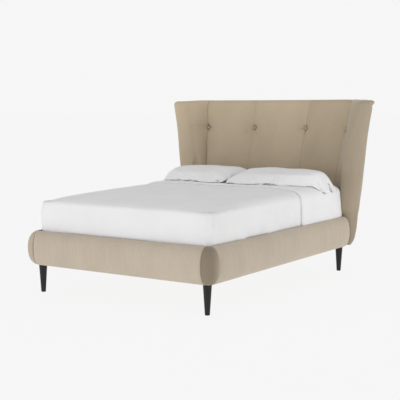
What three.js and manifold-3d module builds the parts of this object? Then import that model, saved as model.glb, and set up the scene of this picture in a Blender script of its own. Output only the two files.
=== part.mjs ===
// Upholstered double bed with a winged, channelled headboard.
// Millimetres, +Z up. The head of the bed is at +Y, the sleeper's left is at -X.
// Everything is drawn with Y = 0 at the inner side of the foot end, and the whole
// group is then moved so that the origin is the middle of the footprint.
import * as THREE from 'three';
import { mergeVertices } from 'three/addons/utils/BufferGeometryUtils.js';
import Module from 'manifold-3d';

const wasm = await Module();
wasm.setup();

// ---------- driving dimensions ----------
const GAP = 0.3; // between pieces that touch
const mattressWidth = 1350;
const mattressLength = 1900;
const mattressHeight = 290;
const mattressFootRadius = 50;
const mattressHeadRadius = 130; // the soft head corners give way to the wings
const sheetThickness = 2.5;
const coverThickness = 9;
const coverLength = 1170; // how far up the bed the cover reaches
const bedClearance = 3; // between the bedding and the rails

const railHeight = 233;
const railPadDepth = 44; // foam and fabric outside the board
const railPadLip = 18; // foam over the board's top and bottom edges
const boardThickness = 20;
const legHeight = 187.5;
const legTopRadius = 28;
const legBottomRadius = 15.5;
const cornerRadius = 80; // of the padded foot corners, in plan
const cornerSeam = 84; // from the outside of the rail to the corner panel's seams

const slatCount = 12;
const slatWidth = 90;
const slatThickness = 15;
const ledgeWidth = 25;
const ledgeHeight = 30;
const beamSize = 45;
const centreLegRadius = 20;
const levelTravel = 15;

const bracketArm = 52;
const bracketSteel = 3;
const bracketBelowLedge = 23.4; // from the slat ledges down to the brackets' tops
const studRadius = 4;

const headboardTop = 1310;
const headboardFoot = 200; // height of the headboard's lower edge
const padAboveBoard = 9.5; // from the rails' boards up to the front pads
const rakeSlope = 0.287; // backward lean for each unit of height
const padDepth = 61; // front pads, measured along Y
const topPadding = 25;
const panelThickness = 9;
const frameThickness = 20;
const backCoverThickness = 4;
const carcassPastRail = 8.9; // how far the headboard's frame reaches past the rails' inner line
const uprightWidth = 70;
const headboardRailHeight = 100;
const wingBoardThickness = 18;
const wingBoardFoot = 560;
const backCornerRadius = 45;
const buttonBelowTop = 230; // from the headboard's top down to the buttons
const buttonRadius = 14;
const buttonSide = 3; // height of the button's widest ring above its back
const buttonForward = 16; // from the bottom of a channel to the back of its button
const innerChannelHalf = 237; // from the middle to the inner channels, low on the headboard
const outerChannelInset = 182.1; // from the rail's outside to the outer channels, low on the headboard
const seamGap = 1.2; // between neighbouring pads, where the fabric is drawn in

const pillowWidth = 690;
const pillowDepth = 490;
const pillowHeight = 96;
const pillowFromHead = 190; // from the back of the pillows to the end of the mattress
const pillowPairShift = 15; // the pair lies a little to the right

// ---------- derived sizes ----------
const coverHalf = mattressWidth / 2 + sheetThickness + coverThickness + 2 * GAP;
const railInnerX = coverHalf + bedClearance + 1;
const boardOuterX = railInnerX + boardThickness;
const railOuterX = boardOuterX + railPadDepth;
const carcassHalfWidth = railInnerX + carcassPastRail;
const railBottom = legHeight;
const railTop = railBottom + railHeight;
const boardBottom = railBottom + railPadLip;
const boardTop = railTop - railPadLip;
const mattressFootY = 0;
const mattressHeadY = mattressFootY + mattressLength;
const footInnerY = mattressFootY - sheetThickness - coverThickness - bedClearance - 11;
const footBoardOuterY = footInnerY - boardThickness;
const footOuterY = footBoardOuterY - railPadDepth;
const crossRailY = mattressHeadY - 9; // the mattress lies over this rail
const crossRailBackY = crossRailY + boardThickness;
const legInset = legTopRadius;
const mattressBottom = boardTop - 28;
const mattressTop = mattressBottom + mattressHeight;
const slatTop = mattressBottom - GAP;
const crossRailTop = mattressBottom - 1;
const slatBottom = slatTop - slatThickness;
const ledgeTop = slatBottom - GAP;
const rake = Math.atan(rakeSlope);
const frontPlaneY = crossRailBackY + 1; // of the headboard's face panel at its lower edge
const slabThickness = panelThickness + frameThickness + backCoverThickness + 2 * GAP;
const carcassTop = headboardTop - topPadding;
const panelY = (z) => frontPlaneY + rakeSlope * (z - headboardFoot);
const backY = (z) => panelY(z) + slabThickness / Math.cos(rake);
const channelY = (z) => panelY(z) - padDepth;
const railMidZ = (railBottom + railTop) / 2;
const padBottom = boardTop + padAboveBoard;
const buttonHeight = headboardTop - buttonBelowTop;

// ---------- helpers ----------
const bed = new THREE.Group();

const looks = {
  velvet: [0xb4a68f, 0.95, 0],
  timber: [0xc9a877, 0.8, 0],
  plywood: [0xbf9b6c, 0.8, 0],
  blackWood: [0x2a2a2c, 0.45, 0],
  steel: [0x8b8d90, 0.45, 0.9],
  cotton: [0xe6e5e2, 0.9, 0],
  plastic: [0x1e1e20, 0.6, 0],
};

function place(name, geometry, look, parent = bed) {
  const [color, roughness, metalness] = looks[look];
  const material = new THREE.MeshStandardMaterial({ color, roughness, metalness });
  const mesh = new THREE.Mesh(geometry, material);
  mesh.name = name;
  parent.add(mesh);
  return mesh;
}

function box(x0, x1, y0, y1, z0, z1) {
  const geometry = new THREE.BoxGeometry(x1 - x0, y1 - y0, z1 - z0);
  return geometry.translate((x0 + x1) / 2, (y0 + y1) / 2, (z0 + z1) / 2);
}

function cylinderZ(radius, z0, z1, segments = 24) {
  const geometry = new THREE.CylinderGeometry(radius, radius, z1 - z0, segments);
  return geometry.rotateX(Math.PI / 2).translate(0, 0, (z0 + z1) / 2);
}

function cylinderY(radius, y0, y1, segments = 20) {
  const geometry = new THREE.CylinderGeometry(radius, radius, y1 - y0, segments);
  return geometry.translate(0, (y0 + y1) / 2, 0);
}

function mirrored(geometry) {
  const copy = geometry.clone().scale(-1, 1, 1);
  const index = copy.index ? Array.from(copy.index.array) : [...Array(copy.attributes.position.count).keys()];
  for (let i = 0; i < index.length; i += 3) {
    [index[i + 1], index[i + 2]] = [index[i + 2], index[i + 1]];
  }
  copy.setIndex(index);
  return copy;
}

// A closed solid through rings of equally many points, with flat ends. The rings
// run anticlockwise seen from the last ring's side.
function loft(rings) {
  const count = rings[0].length;
  const positions = rings.flat().flatMap((p) => [p.x, p.y, p.z]);
  const index = [];
  for (let r = 0; r + 1 < rings.length; r += 1) {
    for (let i = 0; i < count; i += 1) {
      const j = (i + 1) % count;
      const low = r * count;
      const high = low + count;
      index.push(low + i, low + j, high + j, low + i, high + j, high + i);
    }
  }
  const first = capTriangles(rings[0]);
  const last = capTriangles(rings[rings.length - 1]);
  const lastStart = (rings.length - 1) * count;
  for (const [a, b, c] of first) index.push(a, c, b);
  for (const [a, b, c] of last) index.push(lastStart + a, lastStart + b, lastStart + c);
  const geometry = new THREE.BufferGeometry();
  geometry.setAttribute('position', new THREE.Float32BufferAttribute(positions, 3));
  geometry.setIndex(index);
  return geometry;
}

// Triangles over a flat ring, wound the way the ring runs.
function capTriangles(ring) {
  const normal = new THREE.Vector3();
  ring.forEach((p, i) => normal.add(new THREE.Vector3().crossVectors(p, ring[(i + 1) % ring.length])));
  normal.normalize();
  const turn = new THREE.Quaternion().setFromUnitVectors(normal, new THREE.Vector3(0, 0, 1));
  const flat = ring.map((p) => p.clone().applyQuaternion(turn));
  return THREE.ShapeUtils.triangulateShape(flat.map((p) => new THREE.Vector2(p.x, p.y)), []);
}

function toManifold(geometry) {
  const bare = geometry.clone();
  bare.deleteAttribute('normal');
  bare.deleteAttribute('uv');
  const merged = mergeVertices(bare, 1e-4);
  const vertProperties = Float32Array.from(merged.attributes.position.array);
  const triVerts = Uint32Array.from(merged.index.array);
  return new wasm.Manifold(new wasm.Mesh({ numProp: 3, vertProperties, triVerts }));
}

function fromManifold(solid) {
  const mesh = solid.getMesh();
  const geometry = new THREE.BufferGeometry();
  geometry.setAttribute('position', new THREE.Float32BufferAttribute(Array.from(mesh.vertProperties), 3));
  geometry.setIndex(Array.from(mesh.triVerts));
  return geometry;
}

function cut(body, cutters) {
  return fromManifold(cutters.reduce((solid, tool) => solid.subtract(toManifold(tool)), toManifold(body)));
}

function join(parts) {
  const [first, ...rest] = parts.map(toManifold);
  return fromManifold(rest.reduce((solid, part) => solid.add(part), first));
}

// A rounded rectangle in plan, with its own radius at the foot and at the head.
function roundedPlan(halfWidth, y0, y1, footRadius, headRadius, z, steps = 5) {
  const corners = [
    [-halfWidth, y0, footRadius, 180],
    [halfWidth, y0, footRadius, 270],
    [halfWidth, y1, headRadius, 0],
    [-halfWidth, y1, headRadius, 90],
  ];
  return corners.flatMap(([x, y, radius, start]) => {
    const centreX = x - Math.sign(x) * radius;
    const centreY = y === y0 ? y + radius : y - radius;
    return Array.from({ length: steps + 1 }, (_, i) => {
      const angle = THREE.MathUtils.degToRad(start + (90 * i) / steps);
      return new THREE.Vector3(centreX + radius * Math.cos(angle), centreY + radius * Math.sin(angle), z);
    });
  });
}

// ---------- bedding ----------
// The mattress's outline, grown sideways and upward by the layers that lie over it.
// Each level is [height as a share, inset from the sides].
function mattressSolid(grow) {
  const crown = [
    [0, 14],
    [0.05, 0],
    [0.78, 0],
    [0.88, 9],
    [0.94, 28],
    [0.975, 75],
    [0.99, 150],
    [1, 290],
  ];
  const rings = crown.map(([share, inset]) => {
    const half = mattressWidth / 2 + grow - inset;
    const footRadius = Math.max(mattressFootRadius + grow - inset / 2, 12);
    const headRadius = Math.max(mattressHeadRadius + grow - inset / 2, 12);
    const z = mattressBottom + mattressHeight * share + (share > 0.5 ? grow : 0);
    const [footY, headY] = [mattressFootY - grow + inset, mattressHeadY + grow - inset];
    return roundedPlan(half, footY, headY, footRadius, headRadius, z);
  });
  return loft(rings);
}

function makeBedding() {
  place('mattress', mattressSolid(0), 'cotton');
  const far = mattressLength;
  const under = box(-far, far, -far, 2 * far, 0, mattressBottom + 8);
  const sheetOuter = GAP + sheetThickness;
  place('fitted_sheet', cut(mattressSolid(sheetOuter), [mattressSolid(GAP), under]), 'cotton');

  const coverInner = sheetOuter + GAP;
  const beyond = box(-far, far, mattressFootY + coverLength, 2 * far, 0, far);
  const cover = cut(mattressSolid(coverInner + coverThickness), [mattressSolid(coverInner), under, beyond]);
  place('bed_cover', cover, 'cotton');
}

function makePillows() {
  const backEdge = mattressHeadY - pillowFromHead;
  const bottom = mattressTop + sheetThickness + 2 * GAP;
  const levels = [
    [0, 0.8],
    [0.2, 0.94],
    [0.45, 1],
    [0.7, 0.9],
    [0.88, 0.68],
    [1, 0.36],
  ];
  const pillow = (centreX) => loft(levels.map(([rise, share]) => {
    const [half, deep, radius] = [pillowWidth / 2, pillowDepth / 2, 70].map((size) => size * share);
    const plan = roundedPlan(half, -deep, deep, radius, radius, bottom + rise * pillowHeight);
    return plan.map((p) => p.add(new THREE.Vector3(centreX, backEdge - pillowDepth / 2, 0)));
  }));
  const apart = pillowWidth / 2 + 2;
  place('pillow_left', pillow(pillowPairShift - apart), 'cotton');
  place('pillow_right', pillow(pillowPairShift + apart), 'cotton');
}

// ---------- rails ----------
// How far the padded rail stands out from its inner line at a height.
function railBulge(z) {
  const power = 2.3;
  const share = Math.min(Math.abs((z - railMidZ) / (railHeight / 2)), 1);
  return (boardThickness + railPadDepth) * (1 - share ** power) ** (1 / power);
}

const railShares = [-1, -0.96, -0.85, -0.65, -0.35, 0, 0.35, 0.65, 0.85, 0.96, 1];
const railLevels = railShares.map((share) => railMidZ + (share * railHeight) / 2);

function boardCutters() {
  const [outerX, outerY] = [boardOuterX + GAP, footBoardOuterY - GAP];
  const heights = [boardBottom - GAP, boardTop + GAP];
  const side = box(railInnerX - GAP - 5, outerX, outerY, crossRailBackY + 100, ...heights);
  const foot = box(-outerX, outerX, outerY, footInnerY + 5, ...heights);
  return { side, foot };
}

function makeRails() {
  const innerX = railInnerX;
  const sideBoard = box(innerX, boardOuterX, footInnerY + GAP, crossRailBackY, boardBottom, boardTop);
  place('side_rail_board_right', sideBoard, 'timber');
  place('side_rail_board_left', mirrored(sideBoard), 'timber');
  const footBoard = box(-boardOuterX, boardOuterX, footBoardOuterY, footInnerY, boardBottom, boardTop);
  place('foot_rail_board', footBoard, 'timber');

  const cutters = boardCutters();
  const seamY = footOuterY + cornerSeam;
  const seamX = railOuterX - cornerSeam;
  const padEndY = Math.min(wingFrontY(railMidZ), ...railLevels.map(wingFaceY)) - GAP;
  const sideRing = (y) => [
    ...railLevels.map((z) => new THREE.Vector3(innerX + railBulge(z) + 0.5, y, z)),
    new THREE.Vector3(innerX, y, railTop),
    new THREE.Vector3(innerX, y, railBottom),
  ];
  const sidePad = cut(loft([sideRing(padEndY), sideRing(seamY + seamGap)]), [cutters.side]);
  place('side_rail_pad_right', sidePad, 'velvet');
  place('side_rail_pad_left', mirrored(sidePad), 'velvet');

  const footRing = (x) => [
    ...railLevels.map((z) => new THREE.Vector3(x, footInnerY - railBulge(z) - 0.5, z)),
    new THREE.Vector3(x, footInnerY, railTop),
    new THREE.Vector3(x, footInnerY, railBottom),
  ];
  const footPad = cut(loft([footRing(seamX - seamGap), footRing(-seamX + seamGap)]), [cutters.foot]);
  place('foot_rail_pad', footPad, 'velvet');

  const corner = cornerPanel(seamX, seamY, cutters);
  place('corner_panel_right', corner, 'velvet');
  place('corner_panel_left', mirrored(corner), 'velvet');
}

// The sewn panel round a foot corner, from the seam on the foot rail to the seam on the side rail.
function cornerPanel(seamX, seamY, cutters) {
  const steps = 6;
  const beyond = cornerRadius; // the arc is drawn past both seams and trimmed there
  const rings = railLevels.map((z) => {
    const bulge = railBulge(z);
    const inward = boardThickness + railPadDepth - bulge;
    const radius = cornerRadius - 0.45 * inward;
    const outX = railInnerX + bulge + 0.5;
    const outY = footInnerY - bulge - 0.5;
    const innerRadius = radius - bulge - 0.5;
    const arc = (size, i) => {
      const angle = THREE.MathUtils.degToRad(-90 + (90 * i) / steps);
      return new THREE.Vector3(outX - radius + size * Math.cos(angle), outY + radius + size * Math.sin(angle), z);
    };
    const stations = [...Array(steps + 1).keys()];
    return [
      new THREE.Vector3(seamX - beyond, footInnerY, z),
      new THREE.Vector3(seamX - beyond, outY, z),
      ...stations.map((i) => arc(radius, i)),
      new THREE.Vector3(outX, seamY + beyond, z),
      new THREE.Vector3(railInnerX, seamY + beyond, z),
      ...stations.reverse().map((i) => arc(innerRadius, i)),
    ];
  });
  const trimSide = box(railInnerX - beyond, railOuterX + beyond, seamY, seamY + 2 * beyond, 0, railTop + beyond);
  const trimFoot = box(seamX - 2 * beyond, seamX, footOuterY - beyond, footInnerY + beyond, 0, railTop + beyond);
  const inside = box(seamX - 2 * beyond, railInnerX + GAP, footInnerY - GAP, seamY + 2 * beyond, 0, boardTop + GAP);
  return cut(loft(rings), [cutters.side, cutters.foot, trimSide, trimFoot, inside]);
}

// Steel angle that joins two boards, with a flange that takes the leg's stud.
function cornerBracket() {
  const top = ledgeTop - ledgeHeight - bracketBelowLedge;
  const bottom = legHeight + GAP;
  const armX = box(-bracketArm, -GAP, GAP, bracketSteel + GAP, bottom, top);
  const armY = box(-bracketSteel - GAP, -GAP, GAP, bracketArm, bottom, top);
  const flange = box(-bracketArm - 4, -GAP, GAP, bracketArm + 4, bottom, bottom + bracketSteel + 2);
  const hole = cylinderZ(studRadius + 0.5, bottom - 10, bottom + 20).translate(-legInset, legInset, 0);
  return cut(join([armX, armY, flange]), [hole]);
}

function leg() {
  const studTop = legHeight + bracketSteel + 12;
  const profile = [
    [0, 0],
    [legBottomRadius - 1, 0],
    [legBottomRadius, 1.5],
    [legTopRadius - 0.6, legHeight - 3],
    [legTopRadius - 1.4, legHeight],
    [studRadius, legHeight],
    [studRadius, studTop],
    [0, studTop],
  ].map(([radius, z]) => new THREE.Vector2(radius, z));
  return new THREE.LatheGeometry(profile, 32).rotateX(Math.PI / 2);
}

function makeLegsAndBrackets() {
  const ends = [
    ['foot', footInnerY, 1],
    ['head', crossRailY, -1],
  ];
  for (const [end, y, inward] of ends) {
    const bracket = cornerBracket();
    const turned = inward === 1 ? bracket : mirrored(bracket).rotateZ(Math.PI);
    const right = turned.clone().translate(railInnerX, y, 0);
    place(`corner_bracket_${end}_right`, right, 'steel');
    place(`corner_bracket_${end}_left`, mirrored(right), 'steel');
    const legY = y + inward * legInset;
    place(`leg_${end}_right`, leg(), 'blackWood').position.set(railInnerX - legInset, legY, 0);
    place(`leg_${end}_left`, leg(), 'blackWood').position.set(-railInnerX + legInset, legY, 0);
  }
}

// ---------- base ----------
function makeSlatBase() {
  const crossRail = box(-railInnerX + GAP, railInnerX - GAP, crossRailY, crossRailBackY, boardBottom, crossRailTop);
  place('head_cross_rail', cut(crossRail, boltHoles()), 'timber');

  const ledgeOuterX = railInnerX - GAP;
  const ledgeEnds = [footInnerY + GAP, crossRailY - GAP];
  const ledge = box(ledgeOuterX - ledgeWidth, ledgeOuterX, ...ledgeEnds, ledgeTop - ledgeHeight, ledgeTop);
  place('slat_ledge_right', ledge, 'timber');
  place('slat_ledge_left', mirrored(ledge), 'timber');

  const firstSlat = footInnerY + 12;
  const pitch = (crossRailY - 12 - slatWidth - firstSlat) / (slatCount - 1);
  for (let i = 0; i < slatCount; i += 1) {
    const y = firstSlat + i * pitch;
    const slat = box(-railInnerX + GAP, railInnerX - GAP, y, y + slatWidth, slatBottom, slatTop);
    place(`slat_${String(i + 1).padStart(2, '0')}`, slat, 'timber');
  }
}

function makeCentreSupport() {
  const half = beamSize / 2;
  const beamTop = slatBottom - GAP;
  const beamBottom = beamTop - beamSize;
  const hangerLength = 60;
  const flange = bracketSteel + GAP;
  const beam = box(-half, half, footInnerY + flange + GAP, crossRailY - flange - GAP, beamBottom, beamTop);
  place('centre_beam', beam, 'timber');

  const hanger = (faceY, inward) => {
    const yStart = faceY + inward * GAP;
    const yEnd = faceY + inward * hangerLength;
    const plateEnd = faceY + inward * flange;
    const span = (a, b) => [Math.min(a, b), Math.max(a, b)];
    const wide = half + GAP + bracketSteel;
    const low = beamBottom - GAP - bracketSteel;
    const [y0, y1] = span(yStart, yEnd);
    const [p0, p1] = span(yStart, plateEnd);
    return join([
      box(-wide, wide, y0, y1, low, beamBottom - GAP),
      box(-wide, -half - GAP, y0, y1, low, beamTop - 8),
      box(half + GAP, wide, y0, y1, low, beamTop - 8),
      box(-wide - 22, wide + 22, p0, p1, low, beamTop - 8),
    ]);
  };
  place('beam_hanger_foot', hanger(footInnerY, 1), 'steel');
  place('beam_hanger_head', hanger(crossRailY, -1), 'steel');

  const supportY = (footInnerY + crossRailY) / 2;
  const footHeight = 10;
  const legBottom = footHeight + levelTravel + 5;
  const boreRadius = 6.5;
  const studTop = legBottom + 44;
  const boreTop = studTop + levelTravel + 6;
  const legTop = beamBottom - GAP;
  const legProfile = [
    [0, boreTop],
    [boreRadius, boreTop],
    [boreRadius, legBottom],
    [centreLegRadius - 1, legBottom],
    [centreLegRadius, legBottom + 1],
    [centreLegRadius, legTop],
    [0, legTop],
  ].map(([radius, z]) => new THREE.Vector2(radius, z));
  const footProfile = [
    [0, 0],
    [23, 0],
    [25, 2],
    [25, 6],
    [12, footHeight],
    [5, footHeight + 0.5],
    [5, studTop],
    [0, studTop],
  ].map(([radius, z]) => new THREE.Vector2(radius, z));
  const centreLeg = new THREE.LatheGeometry(legProfile, 24).rotateX(Math.PI / 2);
  const levellingFoot = new THREE.LatheGeometry(footProfile, 24).rotateX(Math.PI / 2);
  place('centre_leg', centreLeg, 'steel').position.y = supportY;
  place('levelling_foot', levellingFoot, 'plastic').position.y = supportY;
}

// ---------- headboard ----------
const boltX = 430;
const boltZ = 300;
const boltRadius = 4;

function boltHoles() {
  const hole = cylinderY(boltRadius + 0.5, crossRailY - 50, crossRailY + 200);
  return [-1, 1].map((side) => hole.clone().translate(side * boltX, 0, boltZ));
}

// A value that follows measured heights, smoothly between them.
function along(heights, values) {
  const curve = new THREE.SplineCurve(heights.map((z, i) => new THREE.Vector2(z, values[i])));
  const samples = curve.getPoints(60);
  return (z) => {
    const next = samples.findIndex((p) => p.x >= z);
    if (next <= 0) return next === 0 ? samples[0].y : samples[samples.length - 1].y;
    const [a, b] = [samples[next - 1], samples[next]];
    return a.y + ((b.y - a.y) * (z - a.x)) / (b.x - a.x);
  };
}

// The rolled front edge of a wing: a circle in plan that leans out as it rises.
// Its place is counted from the rail's outside and from the headboard's face.
const wingHeights = [headboardFoot, 450, 750, buttonHeight, headboardTop - 50, headboardTop];
const wingLean = along(wingHeights, [-92, -92, -28, 31, 69, 80]);
const wingRadius = along(wingHeights, [89, 100, 99, 81, 75, 73]);
const wingCentreX = (z) => railOuterX + wingLean(z);
const wingCentreY = (z) => mattressHeadY + 31 + 0.01 * (z - 450);
// Beside the rail the wing stands back, and above it swells forward over the rail's end.
function wingFrontY(z) {
  const standBack = 32 * (1 - THREE.MathUtils.smoothstep(z, railTop, railTop + 60));
  return wingCentreY(z) - wingRadius(z) + standBack;
}

// The front of the wing beside the rail, at the rail's inner line and a height.
function wingFaceY(z) {
  const share = Math.max(railInnerX - wingCentreX(z), 0) / wingRadius(z);
  const depth = wingCentreY(z) - wingFrontY(z);
  return wingCentreY(z) - depth * Math.sqrt(1 - Math.min(share, 1) ** 2);
}

function innerChannelX(z) {
  const aboveButtons = THREE.MathUtils.clamp((z - buttonHeight) / buttonBelowTop, 0, 1);
  return innerChannelHalf + 18 * aboveButtons;
}

const outerChannelX = (z) => railOuterX - outerChannelInset + 0.105 * (z - 450);
const outerChannelForward = (z) => 42 + 0.075 * (z - 450); // how far it lies in front of the middle

const padShares = [0, 0.055, 0.21, 0.375, 0.545, 0.744, 0.878];
const padLevels = [
  ...padShares.map((share) => THREE.MathUtils.lerp(padBottom, headboardTop, share)),
  ...[50, 25, 10, 0].map((below) => headboardTop - below),
];
// How far the pads have rolled in at a height near the top.
const topRoll = (z) => {
  const radius = 40;
  const rise = Math.max(z - (headboardTop - radius), 0);
  return radius - Math.sqrt(Math.max(radius * radius - rise * rise, 0));
};

function raked(geometry) {
  return geometry.rotateX(-rake).translate(0, frontPlaneY, headboardFoot);
}

function slabCutter(halfWidth) {
  const height = (carcassTop - headboardFoot) / Math.cos(rake);
  return raked(box(-halfWidth - GAP, halfWidth + GAP, -GAP, 400, -200, height + GAP));
}

function mattressColumn() {
  const margin = sheetThickness + 2 * GAP + 3;
  const plan = (z) => roundedPlan(
    mattressWidth / 2 + margin, mattressFootY, mattressHeadY + margin,
    mattressFootRadius, mattressHeadRadius + margin, z,
  );
  return loft([plan(mattressBottom - 5), plan(headboardTop + 50)]);
}

// Name, place and turn of the buttons on the right half.
function buttonSpots() {
  const face = channelY(buttonHeight) - buttonForward;
  return [
    ['inner', innerChannelX(buttonHeight), face, 0],
    ['outer', outerChannelX(buttonHeight), face - outerChannelForward(buttonHeight), 0.3],
  ];
}

// A round shape from its outline of radius and height, facing out of the headboard.
function turned(outline, x, y, turn) {
  const profile = outline.map(([radius, height]) => new THREE.Vector2(radius, height));
  const shape = new THREE.LatheGeometry(profile, 16).rotateX(Math.PI).rotateX(-rake).rotateZ(-turn);
  return shape.translate(x, y, buttonHeight);
}

// The room the buttons on the right half need in the pads around them.
function buttonSeats() {
  const reach = 60;
  const outline = [
    [0, -GAP],
    [buttonRadius * 0.8 + GAP, -GAP],
    [buttonRadius + GAP, buttonSide],
    [buttonRadius + GAP, reach],
    [0, reach],
  ];
  return buttonSpots().map(([, ...spot]) => turned(outline, ...spot));
}

function frontPad(x0, x1, forward0, forward1) {
  const steps = 6;
  const crown = 13;
  const rings = padLevels.map((z) => {
    const roll = topRoll(z);
    const front = Array.from({ length: steps + 1 }, (_, i) => {
      const t = i / steps;
      const x = THREE.MathUtils.lerp(x0(z), x1(z), t);
      const forward = THREE.MathUtils.lerp(forward0(z), forward1(z), t ** 1.3);
      const y = channelY(z) - forward - crown * Math.sin(Math.PI * t) + roll;
      return new THREE.Vector3(x, y, z);
    });
    const back = backY(Math.min(z, headboardTop)) - roll;
    return [...front, new THREE.Vector3(x1(z), back, z), new THREE.Vector3(x0(z), back, z)];
  });
  const seats = [...buttonSeats(), ...buttonSeats().map(mirrored)];
  return cut(loft(rings), [slabCutter(carcassHalfWidth), mattressColumn(), ...seats]);
}

function wingBoardQuad(z, grow) {
  const rear = new THREE.Vector2(carcassHalfWidth + GAP + wingBoardThickness / 2, backY(z) - 8);
  const front = new THREE.Vector2(wingCentreX(z) + 0.2 * wingRadius(z), wingCentreY(z));
  const along2 = front.clone().sub(rear).normalize();
  const side = new THREE.Vector2(-along2.y, along2.x).multiplyScalar(wingBoardThickness / 2 + grow);
  const tip = front.clone().addScaledVector(along2, grow);
  const heel = rear.clone().addScaledVector(along2, -grow);
  const corners = [heel.clone().add(side), heel.clone().sub(side), tip.clone().sub(side), tip.clone().add(side)];
  return corners.map((p) => new THREE.Vector3(Math.max(p.x, carcassHalfWidth + GAP - grow), p.y, z));
}

function wingBoard(grow) {
  const top = headboardTop - 45;
  const levels = [0, 0.27, 0.48, 0.74, 0.88, 1].map((share) => THREE.MathUtils.lerp(wingBoardFoot, top, share));
  return loft(levels.map((z, i) => {
    const end = i === 0 ? -grow : Number(i === levels.length - 1) * grow;
    return wingBoardQuad(z, grow).map((p) => p.setZ(z + end));
  }));
}

function wingPad() {
  const arcSteps = 12;
  const levels = [headboardFoot + 2, railMidZ, railTop, railTop + 20, ...padLevels.slice(1)];
  const rings = levels.map((z) => {
    const roll = topRoll(z);
    const cornerR = backCornerRadius - roll / 2;
    const corner = new THREE.Vector2(carcassHalfWidth + 42 - backCornerRadius, backY(z) - roll - cornerR);
    const centre = new THREE.Vector2(wingCentreX(z), Math.min(wingCentreY(z), corner.y - 10));
    const radius = wingRadius(z) - roll;
    const depth = centre.y - (wingFrontY(z) + roll);
    const seamY = channelY(z) - outerChannelForward(z) + roll;
    const seam = new THREE.Vector2(outerChannelX(z) + seamGap / 2, seamY);
    const toCorner = Math.atan2(corner.y - centre.y, corner.x - centre.x);
    const narrowing = THREE.MathUtils.clamp((radius - cornerR) / corner.distanceTo(centre), -1, 1);
    const outer = THREE.MathUtils.clamp(toCorner - Math.PI / 2 + Math.asin(narrowing), 0, 0.7);
    const besideSeam = THREE.MathUtils.clamp((seam.x + 8 - centre.x) / radius, -1, 1);
    const inner = Math.max(0.25 - Math.PI, -Math.acos(besideSeam));
    const roundFront = Array.from({ length: arcSteps + 1 }, (_, i) => {
      const angle = THREE.MathUtils.lerp(inner, outer, i / arcSteps);
      return new THREE.Vector3(centre.x + radius * Math.cos(angle), centre.y + depth * Math.sin(angle), z);
    });
    const roundBack = Array.from({ length: 5 }, (_, i) => {
      const angle = THREE.MathUtils.lerp(outer, Math.PI / 2, i / 4);
      return new THREE.Vector3(corner.x + cornerR * Math.cos(angle), corner.y + cornerR * Math.sin(angle), z);
    });
    return [
      new THREE.Vector3(seam.x, seam.y, z),
      ...roundFront,
      ...roundBack,
      new THREE.Vector3(seam.x, backY(z) - roll, z),
    ];
  });
  const baseZone = box(0, boardOuterX + GAP, 0, crossRailBackY + GAP, 0, padBottom - 1);
  const underPanel = box(0, carcassHalfWidth + GAP, 0, backY(headboardTop), 0, headboardFoot + 30);
  const cutters = [slabCutter(carcassHalfWidth), wingBoard(GAP), baseZone, underPanel, mattressColumn()];
  return cut(loft(rings), [...cutters, ...buttonSeats()]);
}

function makeHeadboard() {
  const height = (carcassTop - headboardFoot) / Math.cos(rake);
  const half = carcassHalfWidth;
  const frameY = panelThickness + GAP;
  const frameBack = frameY + frameThickness;
  const innerHalf = half - uprightWidth - GAP;
  const holes = boltHoles();
  place('headboard_panel', cut(raked(box(-half, half, 0, panelThickness, 0, height)), holes), 'plywood');
  const upright = raked(box(half - uprightWidth, half, frameY, frameBack, 0, height));
  place('headboard_upright_right', upright, 'timber');
  place('headboard_upright_left', mirrored(upright), 'timber');
  const bottomRail = raked(box(-innerHalf, innerHalf, frameY, frameBack, 40, 40 + headboardRailHeight));
  place('headboard_bottom_rail', cut(bottomRail, holes), 'timber');
  const topRail = raked(box(-innerHalf, innerHalf, frameY, frameBack, height - headboardRailHeight, height));
  place('headboard_top_rail', topRail, 'timber');
  const coverY = frameBack + GAP;
  const cover = raked(box(-half + 2, half - 2, coverY, coverY + backCoverThickness, 0, height));
  place('headboard_back_cover', cover, 'velvet');
  place('wing_board_right', wingBoard(0), 'plywood');
  place('wing_board_left', mirrored(wingBoard(0)), 'plywood');

  const none = () => 0;
  const innerEdge = (z) => innerChannelX(z) - seamGap / 2;
  const centrePad = frontPad((z) => -innerEdge(z), innerEdge, none, none);
  place('headboard_centre_pad', centrePad, 'velvet');
  const sideInner = (z) => innerChannelX(z) + seamGap / 2;
  const sideOuter = (z) => outerChannelX(z) - seamGap / 2;
  const sidePad = frontPad(sideInner, sideOuter, none, outerChannelForward);
  place('headboard_side_pad_right', sidePad, 'velvet');
  place('headboard_side_pad_left', mirrored(sidePad), 'velvet');
  const wing = wingPad();
  place('wing_pad_right', wing, 'velvet');
  place('wing_pad_left', mirrored(wing), 'velvet');
}

function makeButtons() {
  const outline = [
    [0, 0],
    [buttonRadius * 0.8, 0],
    [buttonRadius, buttonSide],
    [buttonRadius * 0.86, 7],
    [buttonRadius * 0.45, 9.5],
    [0, 10],
  ];
  for (const [name, ...spot] of buttonSpots()) {
    const button = turned(outline, ...spot);
    place(`button_${name}_right`, button, 'velvet');
    place(`button_${name}_left`, mirrored(button), 'velvet');
  }
}

function makeHeadboardBolts() {
  const headZ = 5;
  for (const [name, side] of [['left', -1], ['right', 1]]) {
    const shank = cylinderY(boltRadius, crossRailY - 1, panelY(boltZ) + 22).translate(side * boltX, 0, boltZ);
    const head = cylinderY(9, crossRailY - GAP - headZ, crossRailY - GAP).translate(side * boltX, 0, boltZ);
    place(`headboard_bolt_${name}`, join([shank, head]), 'steel');
  }
}

makeBedding();
makePillows();
makeRails();
makeLegsAndBrackets();
makeSlatBase();
makeCentreSupport();
makeHeadboard();
makeButtons();
makeHeadboardBolts();

const footprint = new THREE.Box3().setFromObject(bed);
bed.position.y = -(footprint.min.y + footprint.max.y) / 2;

export default bed;
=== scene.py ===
import math
import random

import bmesh
import bpy
import numpy as np
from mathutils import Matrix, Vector, noise


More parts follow.
